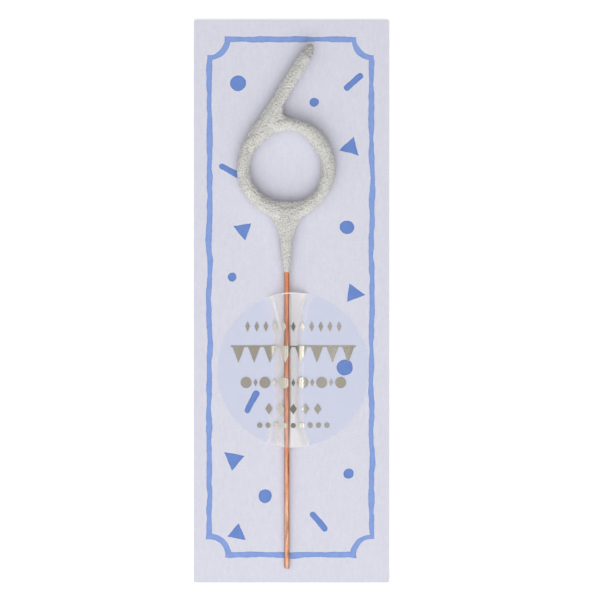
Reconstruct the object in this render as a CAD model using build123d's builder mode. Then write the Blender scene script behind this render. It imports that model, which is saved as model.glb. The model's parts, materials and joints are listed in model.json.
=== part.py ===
# A figure-six sparkler on its backing card: a copper-plated wire stem, the bent wire
# figure that it carries, the dipped spark coating over both, the card, and the clear
# round label that holds the stem down on the card.
#
# Frame, in millimetres: the card lies flat with its underside on Z = 0 and its centre
# at X = Y = 0. +Y runs up the card, towards the figure's tail. +Z is out of the print.

from build123d import *
import os
from math import acos, asin, cos, degrees, radians, sin, sqrt, tan

# Backing card
card_width = 64.0
card_height = 184.5
card_thickness = 0.45
card_corner_radius = 0.5

# Wire: a straight stem, welded under a figure bent from one more length of the same wire
wire_diameter = 1.6
stem_length = 117.8  # from the stem's cut end to the middle of the ring wire above it
ring_radius = 13.8  # to the middle of the ring wire
tail_length = 38.8  # from where the tail leaves the ring to its coated tip
tail_lean = 31.0  # degrees between the tail and the stem
weld_depth = 0.3  # how far the stem's end sinks into the ring wire
closing_gap = 0.15  # between the ring wire's inner end and the tail that it closes on

# Spark coating: its thickness over the wire, and the webs that the wet dip left
ring_coat = 1.45
tail_root_coat = 1.3
tail_tip_coat = 0.9
tail_tip_cover = 1.2  # coating past the end of the tail's wire
neck_coat = 1.2
neck_end_coat = 0.15
neck_length = 20.7  # from the middle of the ring wire down to the coating's lower end
web_radius = 14.0  # hollow curve from the neck's sides out to the ring
web_coat = 0.9  # half depth of this web beyond the wire's, where it meets the ring
web_sections = 6
crotch_radius = 3.2  # hollow curve from the tail's side to the ring
crotch_coat = 1.0  # half depth of this second web beyond the wire's
web_bite = 0.2  # how far both webs sink into what they join

# How the sparkler lies on the card
stem_offset = -1.5  # from the card's centre line to the stem
stem_margin = 4.7  # from the card's lower edge to the stem's cut end
lie_gap = 0.15  # between the card and what rests on it

# Clear label over the stem
label_diameter = 50.0
label_offset = 0.6  # from the card's centre line to the label's centre
label_gap = 7.0  # from the coating's lower end down to the label's edge
film_thickness = 0.1
film_clearance = 0.1  # between the film and the wire that it passes over
tent_angle = 25.0  # slope of the film from the card up to the wire, in degrees

# Sizes that follow from those above
wire_radius = wire_diameter / 2
ring_coat_radius = wire_radius + ring_coat
ring_outside = ring_radius + ring_coat_radius
tail_root_radius = wire_radius + tail_root_coat
tail_tip_radius = wire_radius + tail_tip_coat
neck_radius = wire_radius + neck_coat
neck_end = stem_length - neck_length
label_radius = label_diameter / 2

# The sparkler rests on its ring and on the stem's cut end, so it lies at a slight angle.
# Its own plane has its origin at that cut end, X across the card and Y up the stem.
lie_angle = asin(ring_coat / stem_length)
stem_end = Vector(
    stem_offset,
    stem_margin - card_height / 2,
    card_thickness + lie_gap + wire_radius,
)
sparkler_plane = Plane(
    origin=stem_end,
    x_dir=(1, 0, 0),
    z_dir=(0, -sin(lie_angle), cos(lie_angle)),
)

# Points and directions of the figure, in the sparkler's plane
lean = radians(tail_lean)
ring_centre = Vector(0, stem_length + ring_radius)
tail_direction = Vector(sin(lean), cos(lean))
tail_side = Vector(cos(lean), -sin(lean))  # square to the tail, towards the ring's centre
tail_root = ring_centre - tail_side * ring_radius
tail_tip = tail_root + tail_direction * tail_length


def placed(point):
    # A point of the sparkler's plane, in the part's own frame
    return sparkler_plane.from_local_coords(point)


def stem_section(height):
    # Plane across the stem, at a height above the stem's cut end
    return Plane(
        origin=placed(Vector(0, height)),
        x_dir=sparkler_plane.x_dir,
        z_dir=sparkler_plane.y_dir,
    )


# Backing card, die-cut, its corners barely softened
with BuildPart() as backing_card:
    with BuildSketch():
        Rectangle(card_width, card_height)
        fillet(vertices(), radius=card_corner_radius)
    extrude(amount=card_thickness)

# Figure wire: down the tail, then once round the ring until it meets the tail again
closing_angle = degrees(acos(1 - (wire_diameter + closing_gap) / ring_radius))
tail_section = Plane(origin=placed(tail_root), z_dir=placed(tail_tip) - placed(tail_root))
ring_plane = Plane(origin=placed(ring_centre), z_dir=sparkler_plane.z_dir)
with BuildPart() as figure_wire:
    with BuildSketch(tail_section):
        Circle(wire_radius)
    extrude(amount=tail_length - tail_tip_cover)
    with BuildSketch(tail_section):
        Circle(wire_radius)
    revolve(
        axis=Axis(ring_plane.origin, ring_plane.z_dir),
        revolution_arc=360 - closing_angle,
    )

# Stem wire: straight, its upper end sunk into the underside of the ring wire
with BuildPart() as stem_wire:
    with BuildSketch(stem_section(0)):
        Circle(wire_radius)
    extrude(amount=stem_length - wire_radius + weld_depth)
    add(figure_wire.part, mode=Mode.SUBTRACT)

# The web's hollow curve is an arc that leaves the neck's side and touches a circle just
# inside the ring's outside. Its centre is at web_start, this far from the stem.
web_side = neck_radius + web_radius
web_circle = ring_outside - web_bite
web_drop = sqrt((web_circle + web_radius) ** 2 - web_side**2)
web_start = ring_centre.Y - web_drop
web_end = web_start + web_drop * web_radius / (web_circle + web_radius)


def web_half_width(height):
    return web_side - sqrt(web_radius**2 - (height - web_start) ** 2)


def web_half_depth(height):
    share = (height - web_start) / (web_end - web_start)
    return wire_radius + neck_coat + share * (web_coat - neck_coat)


# The second web is a bent bar in the corner between the tail and the ring. Its hollow
# side is an arc that touches both of them, web_bite below their surfaces.
tip_start = tail_length - tail_tip_radius
tail_taper = (tail_root_radius - tail_tip_radius) / tip_start
crotch_bar_radius = wire_radius + crotch_coat
crotch_from_ring = ring_outside - web_bite + crotch_radius
crotch_from_tail = tail_root_radius - tail_taper * ring_outside - web_bite + crotch_radius
crotch_along = sqrt(crotch_from_ring**2 - (ring_radius - crotch_from_tail) ** 2)
crotch_centre = tail_root + tail_direction * crotch_along + tail_side * crotch_from_tail
crotch_turn = (ring_centre - crotch_centre).get_angle(-tail_side)

tail_plane = Plane(
    origin=tail_section.origin,
    x_dir=tail_section.z_dir,
    z_dir=sparkler_plane.z_dir,
)

crotch_section = Plane(
    origin=placed(crotch_centre),
    x_dir=placed(tail_side) - placed(Vector()),
    z_dir=tail_section.z_dir,
)

# Spark coating: ring, tail, neck and webs, hollow where the wires run
with BuildPart() as spark_coating:
    with Locations(ring_plane):
        Torus(ring_radius, ring_coat_radius)
    with BuildSketch(crotch_section):
        with Locations((-crotch_radius - crotch_bar_radius, 0)):
            Circle(crotch_bar_radius)
    revolve(axis=Axis(crotch_section.origin, sparkler_plane.z_dir), revolution_arc=crotch_turn)
    with BuildSketch(tail_plane):
        with BuildLine():
            Polyline((0, 0), (0, tail_root_radius), (tip_start, tail_tip_radius))
            CenterArc((tip_start, 0), tail_tip_radius, 90, -90)
            Line((tail_length, 0), (0, 0))
        make_face()
    revolve(axis=Axis(tail_plane.origin, tail_plane.x_dir))
    with BuildSketch(stem_section(neck_end)):
        Circle(wire_radius + neck_end_coat)
    with BuildSketch(stem_section(web_start)):
        Circle(neck_radius)
    loft(ruled=True)
    for section in range(web_sections + 1):
        height = web_start + (web_end - web_start) * section / web_sections
        with BuildSketch(stem_section(height)):
            Ellipse(web_half_width(height), web_half_depth(height))
    loft()
    add(figure_wire.part, mode=Mode.SUBTRACT)
    add(stem_wire.part, mode=Mode.SUBTRACT)

# Clear label: film that lies flat on the card, rises to the stem and goes over it. The
# stem is higher off the card at the label's upper edge, so the film's tent is wider there.
label_y = stem_end.Y + (neck_end - label_gap) * cos(lie_angle) - label_radius
film_inside = wire_radius + film_clearance
film_outside = film_inside + film_thickness
film_reach = label_diameter  # far enough from the stem to cut the whole circle from
tent = radians(tent_angle)
with BuildPart() as clear_label:
    for film_y in (label_y - label_diameter, label_y + label_diameter):
        wire_height = lie_gap + wire_radius + (film_y - stem_end.Y) * tan(lie_angle)
        foot = (film_inside + wire_height * cos(tent)) / sin(tent)
        top_foot = foot + film_thickness * tan(tent / 2)
        film_plane = Plane(
            origin=(stem_offset, film_y, card_thickness),
            x_dir=(1, 0, 0),
            z_dir=(0, -1, 0),
        )
        with BuildSketch(film_plane):
            with BuildLine():
                under = CenterArc((0, wire_height), film_inside, 90, -tent_angle)
                over = CenterArc((0, wire_height), film_outside, 90, -tent_angle)
                Polyline(
                    under @ 1,
                    (foot, 0),
                    (film_reach, 0),
                    (film_reach, film_thickness),
                    (top_foot, film_thickness),
                    over @ 1,
                )
                mirror(about=Plane.YZ)
            make_face()
    loft(ruled=True)
    with BuildSketch(Plane.XY):
        with Locations((label_offset, label_y)):
            Circle(label_radius)
    extrude(amount=card_thickness + label_diameter, mode=Mode.INTERSECT)

os.makedirs("parts", exist_ok=True)

backing_card.part.label = "backing_card"
export_step(backing_card.part, "parts/backing_card.step")

clear_label.part.label = "clear_label"
export_step(clear_label.part, "parts/clear_label.step")

stem_wire.part.label = "stem_wire"
export_step(stem_wire.part, "parts/stem_wire.step")

figure_wire.part.label = "figure_wire"
export_step(figure_wire.part, "parts/figure_wire.step")

spark_coating.part.label = "spark_coating"
export_step(spark_coating.part, "parts/spark_coating.step")
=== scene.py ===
import json
from math import atan2, cos, degrees, pi, radians, sin, sqrt, tan

import bmesh
import bpy
from mathutils import Matrix, Vector


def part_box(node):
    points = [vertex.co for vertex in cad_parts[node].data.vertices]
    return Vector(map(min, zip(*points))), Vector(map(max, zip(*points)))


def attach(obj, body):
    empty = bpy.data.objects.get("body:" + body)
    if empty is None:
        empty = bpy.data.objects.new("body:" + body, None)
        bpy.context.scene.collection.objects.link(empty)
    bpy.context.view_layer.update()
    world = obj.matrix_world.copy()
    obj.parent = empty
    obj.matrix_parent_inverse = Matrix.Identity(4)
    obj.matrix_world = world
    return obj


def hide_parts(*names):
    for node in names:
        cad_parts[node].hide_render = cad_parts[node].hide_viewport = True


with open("model.json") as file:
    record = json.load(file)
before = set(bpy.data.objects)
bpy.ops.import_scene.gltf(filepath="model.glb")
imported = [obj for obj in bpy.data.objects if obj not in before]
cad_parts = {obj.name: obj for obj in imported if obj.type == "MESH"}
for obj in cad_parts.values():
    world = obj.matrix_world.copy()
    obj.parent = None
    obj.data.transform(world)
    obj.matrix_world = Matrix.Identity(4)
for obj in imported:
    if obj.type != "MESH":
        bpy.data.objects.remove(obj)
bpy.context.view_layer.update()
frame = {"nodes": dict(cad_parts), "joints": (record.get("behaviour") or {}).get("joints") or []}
mm = 0.001

# Places that every piece goes by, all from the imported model
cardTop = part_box("backing_card")[1].z
stemLow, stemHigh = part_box("stem_wire")
labelLow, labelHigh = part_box("clear_label")
slideAxis = Vector(frame["joints"][0]["axis"])
lieAngle = atan2(slideAxis.z, slideAxis.y)
wireRadius = (stemHigh.x - stemLow.x) / 2
stemEnd = Vector((
    (stemLow.x + stemHigh.x) / 2,
    stemLow.y + wireRadius * slideAxis.z,
    stemLow.z + wireRadius * slideAxis.y,
))
labelX = (labelLow.x + labelHigh.x) / 2
labelY = (labelLow.y + labelHigh.y) / 2
labelRadius = (labelHigh.x - labelLow.x) / 2

# The same places in millimetres, as the finishes take them
topSpot = cardTop / mm
stemSpotX, stemSpotY = stemEnd.x / mm, stemEnd.y / mm
labelSpotX, labelSpotY = labelX / mm, labelY / mm
labelReach = labelRadius / mm
print("frame loaded, sparkler lies at", round(degrees(lieAngle), 3), "degrees")


# Modelling helpers

def onlyThis(*pieces):
    if bpy.context.mode != "OBJECT":
        bpy.ops.object.mode_set(mode="OBJECT")
    bpy.ops.object.select_all(action="DESELECT")
    for piece in pieces:
        piece.select_set(True)
    bpy.context.view_layer.objects.active = pieces[0]


def takeName(name):
    piece = bpy.context.object
    piece.name = name
    piece.data.name = name
    return piece


def settle(piece):  # its place goes into its mesh
    onlyThis(piece)
    bpy.ops.object.transform_apply(location=True, rotation=True, scale=True)


def place(piece, matrix):
    piece.matrix_world = matrix
    settle(piece)


def applyModifiers(piece):
    onlyThis(piece)
    for modifier in list(piece.modifiers):
        bpy.ops.object.modifier_apply(modifier=modifier.name)


def openMesh(piece):
    onlyThis(piece)
    bpy.ops.object.mode_set(mode="EDIT")


def closeMesh():
    bpy.ops.object.mode_set(mode="OBJECT")


def pickPoints(piece, wanted):  # selects in edit mode by place
    mesh = bmesh.from_edit_mesh(piece.data)
    for face in mesh.faces:
        face.select_set(False)
    for edge in mesh.edges:
        edge.select_set(False)
    for vert in mesh.verts:
        vert.select_set(wanted(vert.co))
    mesh.select_flush(True)
    bmesh.update_edit_mesh(piece.data)


def faceOutward():  # of the mesh that is open
    bpy.ops.mesh.select_all(action="SELECT")
    bpy.ops.mesh.normals_make_consistent(inside=False)


def joinPieces(name, pieces):
    onlyThis(*pieces)
    bpy.ops.object.join()
    return takeName(name)


def cutMesh(piece, axis, stops):  # edges across a flat piece, so that it can bend
    openMesh(piece)
    for stop in stops:
        bpy.ops.mesh.select_all(action="SELECT")
        bpy.ops.mesh.bisect(plane_co=Vector(axis) * stop, plane_no=axis)
    closeMesh()


def thicken(piece, gauge):  # a flat piece gets a wall, on its upper side
    wall = piece.modifiers.new("gauge", "SOLIDIFY")
    wall.thickness = gauge * mm
    wall.offset = 1
    applyModifiers(piece)


def growBar(name, stations, sides):  # stations are (along, half width, half depth, aside)
    along, wide, deep, aside = stations[0]
    bpy.ops.mesh.primitive_circle_add(
        vertices=sides,
        radius=wide * mm,
        fill_type="NGON",
        location=(aside * mm, along * mm, 0),
        rotation=(radians(-90), 0, 0),
    )
    bar = takeName(name)
    bar.scale.y = deep / wide
    settle(bar)
    openMesh(bar)
    bpy.ops.mesh.select_all(action="SELECT")
    for nextAlong, nextWide, nextDeep, nextAside in stations[1:]:
        step = ((nextAside - aside) * mm, (nextAlong - along) * mm, 0)
        bpy.ops.mesh.extrude_region_move(TRANSFORM_OT_translate={"value": step})
        bpy.ops.transform.resize(
            value=(nextWide / wide, 1, nextDeep / deep),
            center_override=(nextAside * mm, nextAlong * mm, 0),
        )
        along, wide, deep, aside = nextAlong, nextWide, nextDeep, nextAside
    faceOutward()
    closeMesh()
    return bar


def spread(low, high, step):
    count = max(1, round((high - low) / step))
    return [low + (high - low) * i / count for i in range(count + 1)]


def between(values, share):  # smooth value at a share of the way round a closed list
    spot = share * len(values)
    first = int(spot) % len(values)
    ease = (1 - cos(pi * (spot - int(spot)))) / 2
    return values[first] * (1 - ease) + values[(first + 1) % len(values)] * ease


# Shader helpers

def paint(red, green, blue):  # a screen colour as the shaders take it
    def linear(level):
        level /= 255
        return level / 12.92 if level <= 0.04045 else ((level + 0.055) / 1.055) ** 2.4
    return (linear(red), linear(green), linear(blue), 1)


class Signal:  # a socket that can stand in a sum
    def __init__(self, finish, socket):
        self.finish = finish
        self.socket = socket

    def math(self, operation, first, second=0.0):
        return self.finish.node("ShaderNodeMath", {"operation": operation}, {0: first, 1: second})

    def __add__(self, other):
        return self.math("ADD", self, other)

    def __radd__(self, other):
        return self.math("ADD", other, self)

    def __sub__(self, other):
        return self.math("SUBTRACT", self, other)

    def __rsub__(self, other):
        return self.math("SUBTRACT", other, self)

    def __mul__(self, other):
        return self.math("MULTIPLY", self, other)

    def __rmul__(self, other):
        return self.math("MULTIPLY", other, self)

    def __truediv__(self, other):
        return self.math("DIVIDE", self, other)

    def __pow__(self, other):
        return self.math("POWER", self, other)

    def __abs__(self):
        return self.math("ABSOLUTE", self)

    def atLeast(self, other):
        return self.math("MAXIMUM", self, other)

    def atMost(self, other):
        return self.math("MINIMUM", self, other)

    def root(self):
        return self.math("SQRT", self)

    def over(self, low, high):  # 0 at low, 1 at high, eased
        settings = {"interpolation_type": "SMOOTHSTEP"}
        sockets = {"Value": self, "From Min": low, "From Max": high}
        return self.finish.node("ShaderNodeMapRange", settings, sockets)


class Finish:  # the node tree of a material, or of the sky
    def __init__(self, owner):
        self.owner = owner
        owner.use_nodes = True
        self.tree = owner.node_tree
        self.tree.nodes.clear()

    def node(self, kind, settings, sockets, output=0):
        made = self.tree.nodes.new(kind)
        for key, value in settings.items():
            setattr(made, key, value)
        for key, value in sockets.items():
            if isinstance(value, Signal):
                self.tree.links.new(value.socket, made.inputs[key])
            else:
                made.inputs[key].default_value = value
        return Signal(self, made.outputs[output])

    def spot(self, stretch=(1, 1, 1)):  # place on the piece in millimetres
        here = self.node("ShaderNodeTexCoord", {}, {}, "Object")
        factors = tuple(s / mm for s in stretch)
        return self.node("ShaderNodeVectorMath", {"operation": "MULTIPLY"}, {0: here, 1: factors})

    def parts(self, vector):
        split = self.node("ShaderNodeSeparateXYZ", {}, {0: vector})
        outputs = split.socket.node.outputs
        return [Signal(self, outputs[i]) for i in range(3)]

    def noise(self, vector, scale, detail=2.0, output="Fac"):
        sockets = {"Vector": vector, "Scale": scale, "Detail": detail}
        return self.node("ShaderNodeTexNoise", {}, sockets, output)

    def cells(self, vector, scale, output):
        return self.node("ShaderNodeTexVoronoi", {}, {"Vector": vector, "Scale": scale}, output)

    def mix(self, share, first, second):
        return self.node("ShaderNodeMix", {"data_type": "RGBA"}, {0: share, 6: first, 7: second}, 2)

    def bump(self, height, depth, strength=1.0):
        sockets = {"Height": height, "Distance": depth * mm, "Strength": strength}
        return self.node("ShaderNodeBump", {}, sockets)

    def seen(self):  # camera rays, and those that a gloss or a film passes on
        direct = self.node("ShaderNodeLightPath", {}, {}, "Is Camera Ray")
        rays = direct.socket.node.outputs
        through = Signal(self, rays["Is Transmission Ray"])
        return direct, Signal(self, rays["Is Glossy Ray"]).atLeast(through)

    def principled(self, sockets):
        return self.node("ShaderNodeBsdfPrincipled", {}, sockets)

    def blend(self, share, first, second):
        return self.node("ShaderNodeMixShader", {}, {0: share, 1: first, 2: second})

    def done(self, shader, kind="ShaderNodeOutputMaterial"):
        end = self.tree.nodes.new(kind)
        self.tree.links.new(shader.socket, end.inputs["Surface"])
        return self.owner


def newFinish(name):
    return Finish(bpy.data.materials.new(name))


def distance(across, along):  # from a middle, of two signals
    return (across * across + along * along).root()


creaseAngle = 40  # degrees, sharper edges aren't smoothed


def dress(piece, material):
    piece.data.materials.clear()
    piece.data.materials.append(material)
    onlyThis(piece)
    bpy.ops.object.shade_smooth_by_angle(angle=radians(creaseAngle))


# Spark coating: ring, tail, neck and the webs between them, in the sparkler's own flat
# plane, with the stem's cut end at the origin and the stem up Y. Sizes in millimetres.
coating = {
    "ringCentre": (0, 131.6),
    "ringRadius": 13.8,
    "ringDepth": 2.2,
    "ringSegments": 72,
    "ringSides": 24,
    # half widths of the band and distances of its middle, every 15 degrees from +X
    "ringHalf": [
        2.38, 2.38, 2.62, 2.62, 2.38, 2.1, 2.1, 2.2, 2.42, 2.58, 2.5, 2.18,
        2.2, 2.22, 2.32, 2.45, 2.6, 2.9, 3.1, 2.8, 2.3, 2.1, 2.15, 2.32,
    ],
    "ringMiddle": [
        13.68, 13.5, 13.25, 13.5, 13.7, 13.85, 13.98, 13.95, 13.65, 13.6, 13.9, 14.02,
        14.22, 14.3, 14.35, 14.32, 14.3, 14.35, 14.4, 14.5, 14.42, 14.2, 14.15, 13.82,
    ],
    # how far its crest leans outward, where the wet dip ran down to the neck
    "ringCrest": [
        0, 0, 0, 0, 0, 0, 0, 0, 0, 0, 0, 0,
        0, 0, 0, 0, 0.2, 1.0, 2.2, 1.0, 0.2, 0, 0, 0,
    ],
    "crestLevels": (0.35, 0.65, 0.9),  # shares of the depth, a crest leans a step at each
    "tailLean": 31,  # degrees from the stem's line
    "tailSides": 24,
    "tailDepth": 2.1,
    "tailCrest": 1.0,  # towards the ring
    "tail": [  # stations from the tail's root on the ring
        (-5, 1.7, 1.6, 0.15), (-0.5, 2.1, 2.1, 0), (3, 2.5, 2.1, -0.3), (5, 2.45, 2.1, -0.2),
        (8, 2.28, 2.1, 0), (14, 2.2, 2.1, 0.16), (22, 2.18, 2.05, 0.26), (28, 2.14, 2.0, 0.3),
        (32, 2.06, 2.0, 0.36), (34, 1.95, 2.0, 0.38), (34.5, 1.9, 1.7, 0.36),
        (36, 1.78, 1.5, 0.34), (37.3, 1.45, 1.3, 0.3), (38, 1.08, 1.1, 0.26),
        (38.4, 0.7, 0.7, 0.24), (38.6, 0.3, 0.3, 0.24),
    ],
    "neckSides": 28,
    "neck": [  # stations from the stem's cut end
        (97.1, 0.94, 0.94, 0), (98.2, 1.14, 1.14, -0.06), (102, 1.55, 1.5, -0.16),
        (106.4, 2.06, 2.0, -0.16), (109.4, 2.55, 2.2, -0.14), (112, 3.45, 2.3, -0.12),
        (114.2, 4.75, 2.3, -0.1), (116.2, 6.15, 2.0, -0.1), (117.6, 7.3, 1.4, -0.1),
        (118.6, 8.7, 0.9, -0.1),
    ],
    "crotchCentre": (17.3, 5.2),  # along the tail, and from its line towards the ring
    "crotchHollow": 3.2,
    "crotchBar": 1.8,
    "crotchSides": 20,
    "crotchTurn": 116,
    "crotchSteps": 14,
    "crotchWeld": 0.001,
    "closing": (-5.2, 146.3, 6.9, 2.6, 2.25),  # where the ring closes on the tail: place, half sizes
    "closingSides": (24, 14),
    "voxel": 0.166,
    "roundingTimes": 14,
    "roundingShare": 0.5,
    "lumpSize": 4.0,
    "lumpHeight": 0.3,
    "grainSize": 0.52,
    "grainHeight": 0.34,
    "grainLevel": 0.4,  # of its texture, where the surface stays
    "sandSize": 0.3,
    "sandHeight": 0.16,
    "underGap": 0.12,  # room under it for the whole of the slide
}
crestSteps = len(coating["crestLevels"])


def makeRing():
    size = coating
    centre = Vector((*size["ringCentre"], 0)) * mm
    count = size["ringSegments"]
    bpy.ops.mesh.primitive_torus_add(
        location=centre,
        major_segments=count,
        minor_segments=size["ringSides"],
        major_radius=size["ringRadius"] * mm,
        minor_radius=size["ringDepth"] * mm,
    )
    ring = takeName("ringCoat")
    settle(ring)
    openMesh(ring)
    for segment in range(count):
        turn = 2 * pi * segment / count
        outward = Vector((cos(turn), sin(turn), 0))
        middle = centre + outward * size["ringRadius"] * mm
        widen = between(size["ringHalf"], segment / count) / size["ringDepth"]
        shift = between(size["ringMiddle"], segment / count) - size["ringRadius"]
        crest = between(size["ringCrest"], segment / count)

        def onSection(spot):
            here = spot - centre
            ahead = here.x * outward.x + here.y * outward.y
            aside = here.y * outward.x - here.x * outward.y
            return ahead > 0 and abs(aside) < ahead * sin(pi / count)

        pickPoints(ring, onSection)
        bpy.ops.transform.resize(value=(widen, widen, 1), center_override=middle)
        bpy.ops.transform.translate(value=outward * shift * mm)
        for level in size["crestLevels"]:
            floorZ = level * size["ringDepth"] * mm
            pickPoints(ring, lambda spot: onSection(spot) and abs(spot.z) > floorZ)
            bpy.ops.transform.translate(value=outward * crest / crestSteps * mm)
    closeMesh()
    return ring


def tailPlace():  # its root on the ring, its direction, and the way to the ring's centre
    lean = radians(coating["tailLean"])
    along = Vector((sin(lean), cos(lean), 0))
    inward = Vector((cos(lean), -sin(lean), 0))
    root = Vector((*coating["ringCentre"], 0)) - inward * coating["ringRadius"]
    return root, along, inward


def makeTail():
    size = coating
    tail = growBar("tailCoat", size["tail"], size["tailSides"])
    openMesh(tail)
    for level in size["crestLevels"]:
        floorZ = level * size["tailDepth"] * mm
        pickPoints(tail, lambda spot: abs(spot.z) > floorZ)
        bpy.ops.transform.translate(value=(size["tailCrest"] / crestSteps * mm, 0, 0))
    closeMesh()
    root = tailPlace()[0]
    turned = Matrix.Rotation(-radians(size["tailLean"]), 4, "Z")
    place(tail, Matrix.Translation(root * mm) @ turned)
    return tail


def makeCrotch():  # a bent bar in the corner between the tail and the ring
    size = coating
    root, along, inward = tailPlace()
    centre = root + along * size["crotchCentre"][0] + inward * size["crotchCentre"][1]
    start = centre - inward * (size["crotchHollow"] + size["crotchBar"])
    bpy.ops.mesh.primitive_circle_add(
        vertices=size["crotchSides"],
        radius=size["crotchBar"] * mm,
        fill_type="NGON",
        location=start * mm,
        rotation=(radians(90), 0, -radians(size["tailLean"])),
    )
    crotch = takeName("crotchCoat")
    settle(crotch)
    openMesh(crotch)
    bpy.ops.mesh.select_all(action="SELECT")
    bpy.ops.mesh.spin(
        steps=size["crotchSteps"],
        angle=radians(size["crotchTurn"]),
        center=centre * mm,
        axis=(0, 0, -1),
    )
    bpy.ops.mesh.select_all(action="SELECT")
    bpy.ops.mesh.remove_doubles(threshold=size["crotchWeld"] * mm)
    faceOutward()
    closeMesh()
    return crotch


def makeClosing():  # fills the long corner between the ring's upper left and the tail
    across, along, long, wide, deep = coating["closing"]
    segments, rings = coating["closingSides"]
    bpy.ops.mesh.primitive_uv_sphere_add(
        segments=segments,
        ring_count=rings,
        radius=mm,
        location=(across * mm, along * mm, 0),
        rotation=(0, 0, radians(90 - coating["tailLean"])),
        scale=(long, wide, deep),
    )
    bead = takeName("closingCoat")
    settle(bead)
    return bead


def layOnCard(piece):  # from the flat plane to where the sparkler lies
    place(piece, Matrix.Translation(stemEnd) @ Matrix.Rotation(lieAngle, 4, "X"))


def roughen(piece, name, kind, grain, height, middle=0.5):
    texture = bpy.data.textures.new(name, kind)
    texture.noise_scale = grain * mm
    modifier = piece.modifiers.new(name, "DISPLACE")
    modifier.texture = texture
    modifier.texture_coords = "LOCAL"
    modifier.mid_level = middle
    modifier.strength = height * mm


def makeCoating():
    size = coating
    neck = growBar("neckCoat", size["neck"], size["neckSides"])
    figure = joinPieces("spark_coat", [makeRing(), makeTail(), makeCrotch(), makeClosing(), neck])
    voxels = figure.modifiers.new("oneMass", "REMESH")
    voxels.mode = "VOXEL"
    voxels.voxel_size = size["voxel"] * mm
    rounding = figure.modifiers.new("wetWebs", "SMOOTH")
    rounding.factor = size["roundingShare"]
    rounding.iterations = size["roundingTimes"]
    applyModifiers(figure)
    roughen(figure, "dipLumps", "CLOUDS", size["lumpSize"], size["lumpHeight"])
    applyModifiers(figure)
    smooth = [(vert.co.copy(), vert.normal.copy()) for vert in figure.data.vertices]
    roughen(figure, "grains", "VORONOI", size["grainSize"], -size["grainHeight"], size["grainLevel"])
    roughen(figure, "sand", "CLOUDS", size["sandSize"], size["sandHeight"])
    applyModifiers(figure)
    relief = figure.data.attributes.new("relief", "FLOAT", "POINT")  # pits low, grains high
    for vert, (spot, normal) in zip(figure.data.vertices, smooth):
        relief.data[vert.index].value = (vert.co - spot).dot(normal) / (size["grainHeight"] * mm)
    layOnCard(figure)
    lowest = cardTop + size["underGap"] * mm
    for vert in figure.data.vertices:
        vert.co.z = max(vert.co.z, lowest)
    return figure


sparkCoat = makeCoating()
print("spark coating:", len(sparkCoat.data.polygons), "faces")


# Stem: drawn wire, its lower end sheared off a little out of square
stem = {
    "length": 117.4,
    "sides": 40,
    "endInset": 0.1,  # room for the shear
    "endBevel": 0.16,
    "bevelMiddle": (0.35, 0.3),  # of the bevel, along and inward, so that it is round
    "endRings": [0.45, 0.9],  # keep the long faces' shading off the end
    "ringFrom": 4,
    "ringStep": 6,
    "shear": 7,  # degrees
    "shearAt": 0.2,
    "shearBelow": 0.5,
}


def makeStem():
    radius = wireRadius / mm
    low, bevel = stem["endInset"], stem["endBevel"]
    along, inward = stem["bevelMiddle"]
    bevelRadius = radius - bevel * inward
    stations = [
        (low, radius - bevel, radius - bevel, 0),
        (low + bevel * along, bevelRadius, bevelRadius, 0),
        (low + bevel, radius, radius, 0),
    ]
    rings = stem["endRings"] + spread(stem["ringFrom"], stem["length"], stem["ringStep"])
    stations += [(ring, radius, radius, 0) for ring in rings]
    wire = growBar("stem_bar", stations, stem["sides"])
    openMesh(wire)
    pickPoints(wire, lambda spot: spot.y < stem["shearBelow"] * mm)
    bpy.ops.transform.rotate(
        value=radians(stem["shear"]),
        orient_axis="Z",
        center_override=(0, stem["shearAt"] * mm, 0),
    )
    closeMesh()
    layOnCard(wire)
    return wire


stemBar = makeStem()
print("stem:", len(stemBar.data.polygons), "faces")


# Label: clear film, flat on the card, raised to the wire on both sides and over it
film = {
    "thickness": 0.1,
    "lift": 0.02,
    "clear": 0.12,
    "slope": 36,  # degrees at the label's middle, where it is pressed down
    "slopeLoss": 15,  # it lies looser at the label's edge
    "foot": 0.7,
    "tall": 1.016,  # the circle is drawn in across the stem, where the film rises
    "sides": 240,
    "fineReach": 9.0,
    "fineStep": 0.25,
    "wideStep": 1.25,
    "alongStep": 1.25,
}
tallRadius = labelRadius * film["tall"]


def looseness(up, reach):  # of the film, 0 at the label's middle and 1 at its edge
    share = up / reach
    return share * share * share * share


def filmRise(x, y):  # height of the film's underside over the card
    aside = abs(x - stemEnd.x)
    over = wireRadius + film["clear"] * mm
    slope = radians(film["slope"] - film["slopeLoss"] * looseness(y - labelY, tallRadius))
    axis = stemEnd.z - cardTop + (y - stemEnd.y) * tan(lieAngle)
    turn = over * sin(slope)
    if aside < turn:
        rise = axis + sqrt(over**2 - aside**2)
    else:
        rise = axis + over * cos(slope) - (aside - turn) * tan(slope)
    soft = film["foot"] * mm
    return (rise + sqrt(rise**2 + soft**2)) / 2 + film["lift"] * mm


def cutLikeFilm(piece):  # finer near the stem, where the film bends
    reach = film["fineReach"] * mm
    fine = spread(stemEnd.x - reach, stemEnd.x + reach, film["fineStep"] * mm)
    left = spread(labelX - labelRadius, fine[0], film["wideStep"] * mm)[1:-1]
    right = spread(fine[-1], labelX + labelRadius, film["wideStep"] * mm)[1:-1]
    rows = spread(labelY - tallRadius, labelY + tallRadius, film["alongStep"] * mm)[1:-1]
    cutMesh(piece, (1, 0, 0), left + fine + right)
    cutMesh(piece, (0, 1, 0), rows)


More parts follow.
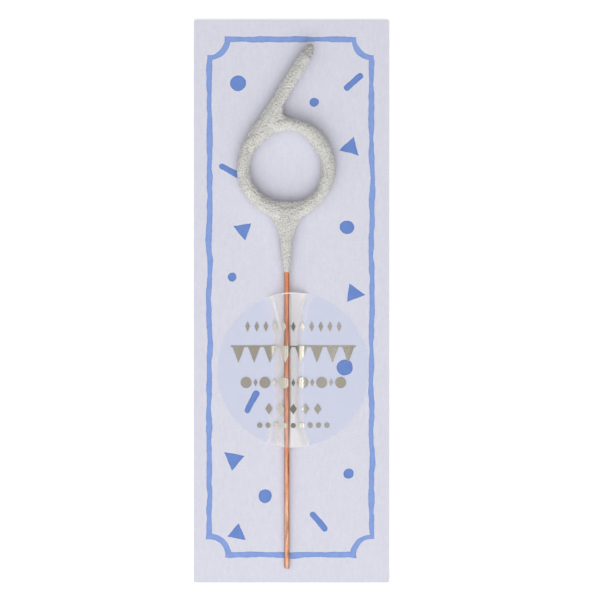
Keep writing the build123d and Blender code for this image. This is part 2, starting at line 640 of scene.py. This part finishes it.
def makeFilm():
    bpy.ops.mesh.primitive_circle_add(
        vertices=film["sides"],
        radius=labelRadius,
        fill_type="NGON",
        location=(labelX, labelY, cardTop),
    )
    sheet = takeName("label_film")
    sheet.scale.y = film["tall"]
    settle(sheet)
    cutLikeFilm(sheet)
    for vert in sheet.data.vertices:
        vert.co.z = cardTop + filmRise(vert.co.x, vert.co.y)
    thicken(sheet, film["thickness"])
    return sheet


labelFilm = makeFilm()
print("label film:", len(labelFilm.data.polygons), "faces")


# Foil ornaments on the label: rows of plain party shapes, laid on the film
foil = {
    "gauge": 0.02,
    "lift": 0.005,
    "probe": 0.01,  # step at which the film's slope is read
    "beadSides": 20,
    # rows: height from the label's middle, spread, count, shape and its size
    "rows": [
        {"y": 14.2, "width": 30, "count": 11, "shape": "lozenge", "size": (1.5, 3.4)},
        {"y": 4.9, "width": 36, "count": 8, "shape": "flag", "size": (3.9, 5.2)},
        {"y": -4.2, "width": 31, "count": 6, "shape": "bead", "size": (3.6, 3.6)},
        {"y": -4.2, "width": 24.8, "count": 5, "shape": "lozenge", "size": (1.3, 2.6)},
        {"y": -12.8, "width": 16, "count": 5, "shape": "lozenge", "size": (2.4, 3.6)},
        {"y": -18.2, "width": 22, "count": 9, "shape": "bead", "size": (1.7, 1.7)},
    ],
    "string": {"y": 7.7, "width": 41, "thick": 0.45},
}


def flatShape(points):  # a filled outline, round its own middle
    bpy.ops.mesh.primitive_circle_add(vertices=len(points), radius=1, fill_type="NGON")
    shape = takeName("foilShape")
    for vert, point in zip(shape.data.vertices, points):
        vert.co = (point[0] * mm, point[1] * mm, 0)
    return shape


def foilOutline(kind, width, height):
    wide, tall = width / 2, height / 2
    if kind == "lozenge":
        return [(wide, 0), (0, tall), (-wide, 0), (0, -tall)]
    if kind == "flag":
        return [(wide, tall), (-wide, tall), (0, -tall)]
    turns = [2 * pi * i / foil["beadSides"] for i in range(foil["beadSides"])]
    return [(wide * cos(turn), tall * sin(turn)) for turn in turns]


def foilRise(x, y):  # height of the foil over the card, on the film's upper face
    step = foil["probe"] * mm
    steep = (filmRise(x + step, y) - filmRise(x - step, y)) / (2 * step)
    return filmRise(x, y) + (film["thickness"] + foil["lift"]) * mm * sqrt(1 + steep**2)


def makeFoil():
    shapes = []
    for row in foil["rows"]:
        first = flatShape(foilOutline(row["shape"], *row["size"]))
        for index in range(row["count"]):
            onlyThis(first)
            bpy.ops.object.duplicate()
            copy = bpy.context.object
            share = index / (row["count"] - 1) - 0.5
            spot = Vector((labelX + share * row["width"] * mm, labelY + row["y"] * mm, cardTop))
            place(copy, Matrix.Translation(spot))
            shapes.append(copy)
        bpy.data.objects.remove(first)
    line = foil["string"]
    half, thick = line["width"] / 2, line["thick"] / 2
    string = flatShape([(half, thick), (-half, thick), (-half, -thick), (half, -thick)])
    place(string, Matrix.Translation((labelX, labelY + line["y"] * mm, cardTop)))
    shapes.append(string)
    leaf = joinPieces("label_foil", shapes)
    cutLikeFilm(leaf)
    for vert in leaf.data.vertices:
        vert.co.z = cardTop + foilRise(vert.co.x, vert.co.y)
    openMesh(leaf)
    faceOutward()
    closeMesh()
    thicken(leaf, foil["gauge"])
    return leaf


labelFoil = makeFoil()
print("label foil:", len(labelFoil.data.polygons), "faces")


# Card stock with its print: a painted line frame with scooped corners, and loose confetti.
# Places are in millimetres from the card's centre.
cardStock = {
    "stock": paint(222, 222, 234),
    "stockDeep": paint(212, 212, 226),
    "stockWet": paint(209, 213, 231),  # under the film, where its glue wets the card out
    "back": paint(226, 226, 230),
    "core": paint(236, 236, 240),
    "ink": paint(136, 164, 222),
    "inkDeep": paint(112, 143, 212),
    "motif": paint(104, 138, 206),
    "motifDeep": paint(88, 120, 192),
    "inkCover": 0.97,
    "inkEdge": 0.07,
    "frameMiddle": (-0.3, 1.4),
    "frameHalf": (26.6, 84.6),
    "scoop": 6.0,
    "stroke": 0.86,
    "sway": 1.6,  # the brush drifts by this,
    "bristle": 0.3,  # its edge is rough by this,
    "pressure": 1.1,  # and its stroke swells by this
    "discs": [  # place, radius
        (-17.5, 71.5, 2.5), (18.2, 24.5, 2.3), (-19.4, 8.0, 1.5), (17.5, -21.5, 2.6),
        (-8.5, -64.0, 2.2), (18.8, -56.5, 1.6), (7.6, 65.0, 1.5),
    ],
    "bars": [  # place, half length, radius, angle
        (20.3, 72.0, 3.0, 1.0, 40), (-20.0, 43.0, 3.0, 1.0, -25),
        (-13.0, -33.0, 3.1, 1.0, 62), (8.8, -72.5, 2.9, 1.0, -50),
    ],
    "triangles": [  # place, from the middle to a side, angle
        (19.4, 50.5, 1.9, 15), (-15.8, 23.5, 1.8, 100), (20.5, 2.5, 1.8, 55),
        (-19.0, -52.0, 1.9, 200), (-17.8, -76.0, 1.7, 20),
    ],
    "wetFrom": 3.9,  # from the stem to where the film is stuck, at the label's middle
    "wetFlare": 3.6,  # and how much further at the label's edge
    "wetAside": 0.2,
    "wetUneven": 1.2,
}


def frameShape(x, y):  # below 0 inside the scooped frame
    middle, half = cardStock["frameMiddle"], cardStock["frameHalf"]
    beyondX = abs(x - middle[0]) - half[0]
    beyondY = abs(y - middle[1]) - half[1]
    corner = distance(beyondX, beyondY)
    return beyondX.atLeast(beyondY).atLeast(cardStock["scoop"] - corner)


def confettiShape(x, y):  # below 0 inside a motif
    shapes = []
    for spotX, spotY, radius in cardStock["discs"]:
        shapes.append(distance(x - spotX, y - spotY) - radius)
    for spotX, spotY, length, radius, angle in cardStock["bars"]:
        turnX, turnY = cos(radians(angle)), sin(radians(angle))
        alongBar = (x - spotX) * turnX + (y - spotY) * turnY
        acrossBar = (y - spotY) * turnX - (x - spotX) * turnY
        past = (abs(alongBar) - length).atLeast(0.0)
        shapes.append(distance(past, acrossBar) - radius)
    for spotX, spotY, radius, angle in cardStock["triangles"]:
        turns = [radians(angle + 120 * side) for side in range(3)]
        walls = [(x - spotX) * cos(turn) + (y - spotY) * sin(turn) - radius for turn in turns]
        shapes.append(walls[0].atLeast(walls[1]).atLeast(walls[2]))
    nearest = shapes[0]
    for shape in shapes[1:]:
        nearest = nearest.atMost(shape)
    return nearest


def cardPaper():
    look = cardStock
    finish = newFinish("printed_card")
    here = finish.spot()
    trueX, trueY, height = finish.parts(here)
    sway = finish.parts(finish.noise(here, 0.09, 2, "Color"))
    bristle = finish.parts(finish.noise(here, 1.6, 3, "Color"))
    x = trueX + (sway[0] - 0.5) * look["sway"] + (bristle[0] - 0.5) * look["bristle"]
    y = trueY + (sway[1] - 0.5) * look["sway"] + (bristle[1] - 0.5) * look["bristle"]
    pressure = finish.noise(here, 0.16, 2)
    frameLine = abs(frameShape(x, y)) - look["stroke"] - (pressure - 0.5) * look["pressure"]
    motifs = confettiShape(x, y)

    fibre = finish.noise(finish.spot((1, 0.35, 1)), 1.1, 4)
    tooth = finish.noise(here, 3.2, 3)
    wash = finish.noise(here, 0.5, 4)
    paper = (fibre * 0.4 + tooth * 0.6).over(0.3, 0.7)
    stock = finish.mix(paper, look["stockDeep"], look["stock"])

    up = trueY - labelSpotY
    inLabel = distance(trueX - labelSpotX, up / film["tall"]).over(labelReach, labelReach - 0.15)
    loose = looseness(up, tallRadius / mm) * look["wetFlare"] + look["wetFrom"]
    foot = abs(trueX - stemSpotX - look["wetAside"]) - loose + (wash - 0.5) * look["wetUneven"]
    stock = finish.mix(inLabel * foot.over(-1.0, 1.8), stock, look["stockWet"])

    rim = frameLine.over(-0.5, 0.0)  # ink gathers at the edges of a stroke
    inkShade = (wash * 0.8 + rim * 0.35 + tooth * 0.2).over(0.3, 1.05)
    ink = finish.mix(inkShade, look["ink"], look["inkDeep"])
    motifShade = (wash * 0.9 + motifs.over(-0.6, 0.0) * 0.3).over(0.3, 1.0)
    motifInk = finish.mix(motifShade, look["motif"], look["motifDeep"])
    edge = look["inkEdge"]
    face = finish.mix(frameLine.over(edge, -edge) * look["inkCover"], stock, ink)
    face = finish.mix(motifs.over(edge, -edge) * look["inkCover"], face, motifInk)

    topmost = height.over(topSpot - 0.03, topSpot - 0.01)
    lowest = height.over(0.03, 0.01)
    body = finish.mix(lowest, look["core"], look["back"])
    body = finish.mix((fibre * 0.5).atMost(0.4), body, look["stockDeep"])
    shader = finish.principled({
        "Base Color": finish.mix(topmost, body, face),
        "Roughness": 0.74 + fibre * 0.16,
        "Specular IOR Level": 0.3,
        "Normal": finish.bump(tooth * 0.6 + fibre * 0.4, 0.03, 0.5),
    })
    return finish.done(shader)


# Spark composition: pale grey metal powder in binder, sandy and matt, with painted shade in its pits
# and at the tail's tip
powder = {
    "low": paint(195, 194, 190),
    "high": paint(230, 229, 224),
    # painted shade for the pits
    "pit": paint(126, 125, 123),
    # painted shade on the tail's tip
    "tip": paint(166, 165, 162),
    "fleck": paint(238, 237, 234),
    "tipBand": (4.6, 3.9),  # from the tail's end, the stretch that gets painted shade
}


def sparkPowder():
    finish = newFinish("spark_powder")
    here = finish.spot()
    x, y = finish.parts(here)[:2]
    patches = finish.noise(here, 0.28, 3)
    sand = finish.noise(here, 1.9, 3)
    dust = finish.noise(here, 4.5, 2)
    relief = finish.node("ShaderNodeAttribute", {"attribute_name": "relief"}, {}, "Fac")
    # random tone, plus painted light and shade read off the relief: raised grains lighter, pits darker
    tone = (sand * 0.4 + dust * 0.25 + patches * 0.3 + relief * 0.4).over(0.2, 0.75)
    colour = finish.mix(tone, powder["low"], powder["high"])
    # painted shade: the lowest pits turn darker still
    pits = (dust * 0.5 + relief * 0.9).over(0.0, -0.15)
    colour = finish.mix(pits * 0.15, colour, powder["pit"])

    tail = tailPlace()[1]
    tipRun = max(vert.co.x * tail.x + vert.co.y * tail.y for vert in sparkCoat.data.vertices) / mm
    tipFrom, tipTo = powder["tipBand"]
    tailRun = x * tail.x + y * tail.y + (sand - 0.5) * 1.5
    # painted shade: the tail's tip is darkened
    colour = finish.mix(tailRun.over(tipRun - tipFrom, tipRun - tipTo) * 0.5, colour, powder["tip"])

    speck = finish.parts(finish.cells(here, 2.6, "Color"))[0]
    flecks = speck.over(0.88, 0.94) * relief.over(-0.1, 0.2)
    colour = finish.mix(flecks * 0.3, colour, powder["fleck"])
    shader = finish.principled({
        "Base Color": colour,
        "Metallic": flecks * 0.35,
        "Roughness": 0.78 - flecks * 0.35,
        "Specular IOR Level": 0.4,
        "Normal": finish.bump(sand * 0.55 + dust * 0.45, 0.3, 1.0),
    })
    return finish.done(shader)


# Copper plating on drawn steel wire: die lines along it, dull spots, a darker sheared end, and painted
# shade along its sides
plating = {
    "bright": paint(240, 152, 106),
    "pale": paint(255, 204, 172),  # towards the lower end
    "dull": paint(228, 136, 90),
    "stain": paint(156, 86, 58),
    # painted shade along both sides of the wire
    "side": paint(124, 64, 46),
    "spot": paint(120, 66, 42),
    "cut": paint(110, 78, 62),
    "edgeTint": paint(140, 70, 48),  # darker where it is seen at a slant
    # dark streak: middle from the wire's line and up the card, half sizes
    "streak": (0.45, -53.0, 0.5, 5.0),
}


def copperPlate():
    look = plating
    finish = newFinish("copper_plate")
    x, along = finish.parts(finish.spot())[:2]
    fromLine = x - stemSpotX
    across = abs(fromLine) / (wireRadius / mm)
    lines = finish.noise(finish.spot((1, 0.03, 1)), 6.0, 3)
    smudge = finish.noise(finish.spot((1, 0.25, 1)), 0.9, 4)
    spots = finish.noise(finish.spot((1, 0.5, 1)), 2.4, 3)
    dull = (smudge * 0.6 + lines * 0.4).over(0.4, 0.68)
    pale = along.over(labelSpotY + 5, stemSpotY + 12)
    colour = finish.mix(dull, finish.mix(pale, look["bright"], look["pale"]), look["dull"])
    stain = finish.noise(finish.spot((1, 0.07, 1)), 0.9, 2).over(0.54, 0.7)
    streakX, streakY, halfWide, halfLong = look["streak"]
    streak = distance((fromLine - streakX) / halfWide, (along - streakY) / halfLong)
    stain = stain.atLeast(streak.over(1.0, 0.5))
    colour = finish.mix(stain * 0.6, colour, look["stain"])
    # painted shade: the wire darkens towards its sides
    colour = finish.mix(across.over(0.6, 0.9) * 0.45, colour, look["side"])
    colour = finish.mix(spots.over(0.62, 0.72) * 0.6, colour, look["spot"])
    cut = along.over(stemSpotY + 0.5, stemSpotY + 0.1)
    colour = finish.mix(cut * 0.75, colour, look["cut"])
    shader = finish.principled({
        "Base Color": colour,
        "Metallic": 1.0,
        "Roughness": 0.3 + dull * 0.1 + cut * 0.2,
        "Specular Tint": look["edgeTint"],
        "Coat Weight": 0.25,
        "Coat Roughness": 0.12,
        "Normal": finish.bump(lines, 0.02, 0.6),
    })
    return finish.done(shader)


# Clear film: it wets out and tints the card where it is stuck flat, and hazes where it is raised; its
# haze also carries painted light beside the wire and painted highlights
filmLook = {
    "stuckTint": (0.998, 0.999, 1.0, 1),
    "looseTint": (1.0, 0.997, 0.991, 1),
    "haze": paint(252, 250, 251),
    "raisedFrom": (0.18, 1.2),  # heights over the card
    "veil": 0.1,
    "streakVeil": 0.06,
    # painted light beside the wire, over its shadow under the film
    "sidePaintedLight": 0.13,
    "rightPaintedLight": 0.28,  # painted light, more on the right of the stem, the side the lamps light less
    "mostVeil": 0.9,
    "shine": 0.7,
    # painted highlights and painted light on the raised film: middle from the stem and from the
    # label's middle, half sizes, lean, strength
    "glints": [
        (-5.6, -19.5, 1.0, 6.5, 0.05, 0.3),
        (4.0, -24.5, 5.0, 7.5, 0.0, 0.3),
        (1.9, -16.0, 1.0, 9.0, 0.0, 0.3),
        (0.92, 20.0, 0.2, 8.5, 0.0, 0.8),
        (-3.4, 18.5, 0.7, 7.5, -0.25, 0.22),
        (4.5, 18.5, 0.7, 7.5, 0.23, 0.16),
        (1.6, -25.0, 7.0, 17.0, 0.0, 0.22),
    ],
}


def clearFilm():
    look = filmLook
    finish = newFinish("clear_film")
    x, y, height = finish.parts(finish.spot())
    fromStem = x - stemSpotX
    fromMiddle = y - labelSpotY
    aside = abs(fromStem)
    onRight = fromStem.over(-1.0, 1.0)
    ripple = finish.noise(finish.spot((1, 0.2, 1)), 0.35, 3)
    raised = (height - topSpot + (ripple - 0.5) * 0.12).over(*look["raisedFrom"])

    # haze on the raised part, in streaks that run along its folds
    flare = looseness(fromMiddle, tallRadius / mm) * (cardStock["wetFlare"] / cardStock["wetFrom"]) + 1
    folds = finish.node("ShaderNodeCombineXYZ", {}, {0: fromStem / flare, 1: fromMiddle * 0.08})
    streaks = finish.noise(folds, 0.75, 2).over(0.48, 0.72)
    # painted light: the film beside the wire is lightened over the wire's shadow, more on the right
    band = aside.over(0.9, 1.7) * (look["sidePaintedLight"] + onRight * look["rightPaintedLight"])
    veil = raised * (look["veil"] + streaks * look["streakVeil"] + band)
    # painted highlights: each glint whitens the film's haze in a soft ellipse
    for glintX, glintY, halfWide, halfLong, lean, strength in look["glints"]:
        up = fromMiddle - glintY
        glint = distance((fromStem - glintX - up * lean) / halfWide, up / halfLong)
        veil = veil + glint.over(1.0, 0.2) * (0.5 + ripple) * strength
    veil = veil * (0.25 + aside.over(0.7, 1.1) * 0.75)  # clearest where it touches the wire
    fromCentre = distance(x - labelSpotX, fromMiddle / film["tall"])
    # haze along the film's cut edge, and a painted highlight on that edge where it crosses the wire at
    # the top
    rim = fromCentre.over(labelReach - 0.4, labelReach - 0.2)
    overWire = aside.over(1.9, 1.1) * fromMiddle.over(-1.0, 1.0)
    veil = veil + rim * (0.05 + overWire * 0.9)

    stuck = finish.node("ShaderNodeBsdfTransparent", {}, {"Color": look["stuckTint"]})
    loose = finish.node("ShaderNodeBsdfTransparent", {}, {"Color": look["looseTint"]})
    haze = finish.principled({
        "Base Color": look["haze"],
        "Roughness": 0.5,
        "Specular IOR Level": 0.3,
    })
    gloss = finish.node("ShaderNodeBsdfGlossy", {}, {
        "Color": (1, 1, 1, 1),
        "Roughness": 0.07,
        "Normal": finish.bump(ripple, 0.05, 0.3),
    })
    hazy = finish.blend(veil.atMost(look["mostVeil"]), finish.blend(raised, stuck, loose), haze)
    slant = finish.node("ShaderNodeLayerWeight", {}, {"Blend": 0.5}, "Facing")
    under = finish.node("ShaderNodeNewGeometry", {}, {}, "Backfacing")
    mirror = (0.04 + slant ** 5 * 0.96) * (1 - under)
    return finish.done(finish.blend(mirror * look["shine"], hazy, gloss))


# Hot-stamped foil: pale gold metal, with a little grain
leafTone = {
    "low": paint(222, 214, 198),
    "high": paint(236, 230, 216),
}


def paleFoil():
    finish = newFinish("pale_foil")
    grain = finish.noise(finish.spot(), 3.5, 3)
    drift = finish.noise(finish.spot((1, 0.15, 1)), 0.12, 1)
    tone = (grain * 0.5 + drift * 0.5).over(0.35, 0.65)
    shader = finish.principled({
        "Base Color": finish.mix(tone, leafTone["low"], leafTone["high"]),
        "Metallic": 1.0,
        "Roughness": 0.1 + grain * 0.08,
        "Normal": finish.bump(drift + grain * 0.02, 0.25, 1.0),
    })
    return finish.done(shader)


copper = copperPlate()
dress(sparkCoat, sparkPowder())
dress(stemBar, copper)
dress(labelFilm, clearFilm())
dress(labelFoil, paleFoil())
frame["nodes"]["backing_card"].material_slots[0].material = cardPaper()
frame["nodes"]["figure_wire"].material_slots[0].material = copper
print("finishes on")

for piece, body, slotName in (
    (sparkCoat, "sparkler", "spark_coating"),
    (stemBar, "sparkler", "copper_wire"),
    (labelFilm, "card", "label_film"),
    (labelFoil, "card", "label_film"),
):
    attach(piece, body)
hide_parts("spark_coating")
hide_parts("stem_wire")
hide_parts("clear_label")


# Studio, in metres: pale floor, soft light from the stem's side, a weaker one from the left
studio = {
    "floorSize": 3.0,
    "floorDrop": 0.0002,
    "floorTone": (0.86, 0.86, 0.86, 1),
    "floorGlow": (0.3, 0.3, 0.3, 1),
    "viewSpot": (2.79 * mm, 0.46 * mm),
    "viewWidth": 0.1968,
    "viewHeight": 0.95,
    "sensor": 36,
    "skyLow": 0.22,
    "skyRise": 0.84,
    "skyTilt": 0.8,  # brighter on the stem's side
    "sideDark": 0.62,  # darker left and right
    "topDark": 0.6,  # and a gap straight overhead
    "lamps": [
        {"name": "frontSoft", "at": (-0.05, -0.73, 0.6), "size": (1.2, 0.7), "watts": 3.6},
        {"name": "leftSoft", "at": (-0.72, 0.0, 0.42), "size": (0.8, 0.45), "watts": 0.6},
        {"name": "topStrip", "at": (0.16, 0.0, 0.9), "size": (0.6, 0.05), "watts": 0.2},
    ],
}


def makeFloor():
    bpy.ops.mesh.primitive_plane_add(size=studio["floorSize"], location=(0, 0, -studio["floorDrop"]))
    floor = takeName("floor")
    settle(floor)
    finish = newFinish("floor_white")
    direct, mirrored = finish.seen()
    shader = finish.principled({
        "Base Color": studio["floorTone"],
        "Roughness": 0.9,
        "Specular IOR Level": 0.0,
        "Emission Color": finish.mix(direct.atLeast(mirrored), (0, 0, 0, 1), studio["floorGlow"]),
        "Emission Strength": 1.0,
    })
    floor.data.materials.append(finish.done(shader))


def makeLamps():
    for lamp in studio["lamps"]:
        light = bpy.data.lights.new(lamp["name"], "AREA")
        light.shape = "RECTANGLE"
        light.size, light.size_y = lamp["size"]
        light.energy = lamp["watts"]
        holder = bpy.data.objects.new(lamp["name"], light)
        bpy.context.scene.collection.objects.link(holder)
        holder.location = lamp["at"]
        holder.rotation_euler = (-Vector(lamp["at"])).to_track_quat("-Z", "Y").to_euler()
        holder.visible_camera = False


def makeSky():
    world = bpy.data.worlds.new("studioSky")
    bpy.context.scene.world = world
    finish = Finish(world)
    x, y, z = finish.parts(finish.node("ShaderNodeTexCoord", {}, {}, "Generated"))
    level = z.over(0.0, 0.85) * studio["skyRise"] + studio["skyLow"]
    level = level * (1 - y * studio["skyTilt"])
    level = level * (1 - abs(x).over(0.5, 0.8) * studio["sideDark"])
    level = level * (1 - z.over(0.95, 0.985) * studio["topDark"])
    direct, mirrored = finish.seen()
    white = direct.atLeast(mirrored * z.over(0.3, 0.15))  # the pale wall behind the floor
    level = level + (1 - level) * white
    sky = finish.node("ShaderNodeBackground", {}, {"Color": (1, 1, 1, 1), "Strength": level})
    finish.done(sky, "ShaderNodeOutputWorld")


def makeCamera():
    camera = bpy.data.cameras.new("photoView")
    holder = bpy.data.objects.new("photoView", camera)
    bpy.context.scene.collection.objects.link(holder)
    holder.location = (*studio["viewSpot"], cardTop + studio["viewHeight"])
    camera.sensor_width = studio["sensor"]
    camera.lens = studio["sensor"] * studio["viewHeight"] / studio["viewWidth"]
    camera.clip_start = 0.01
    bpy.context.scene.camera = holder


makeFloor()
makeLamps()
makeSky()
makeCamera()
bpy.context.scene.view_settings.view_transform = "Standard"
print("studio set")
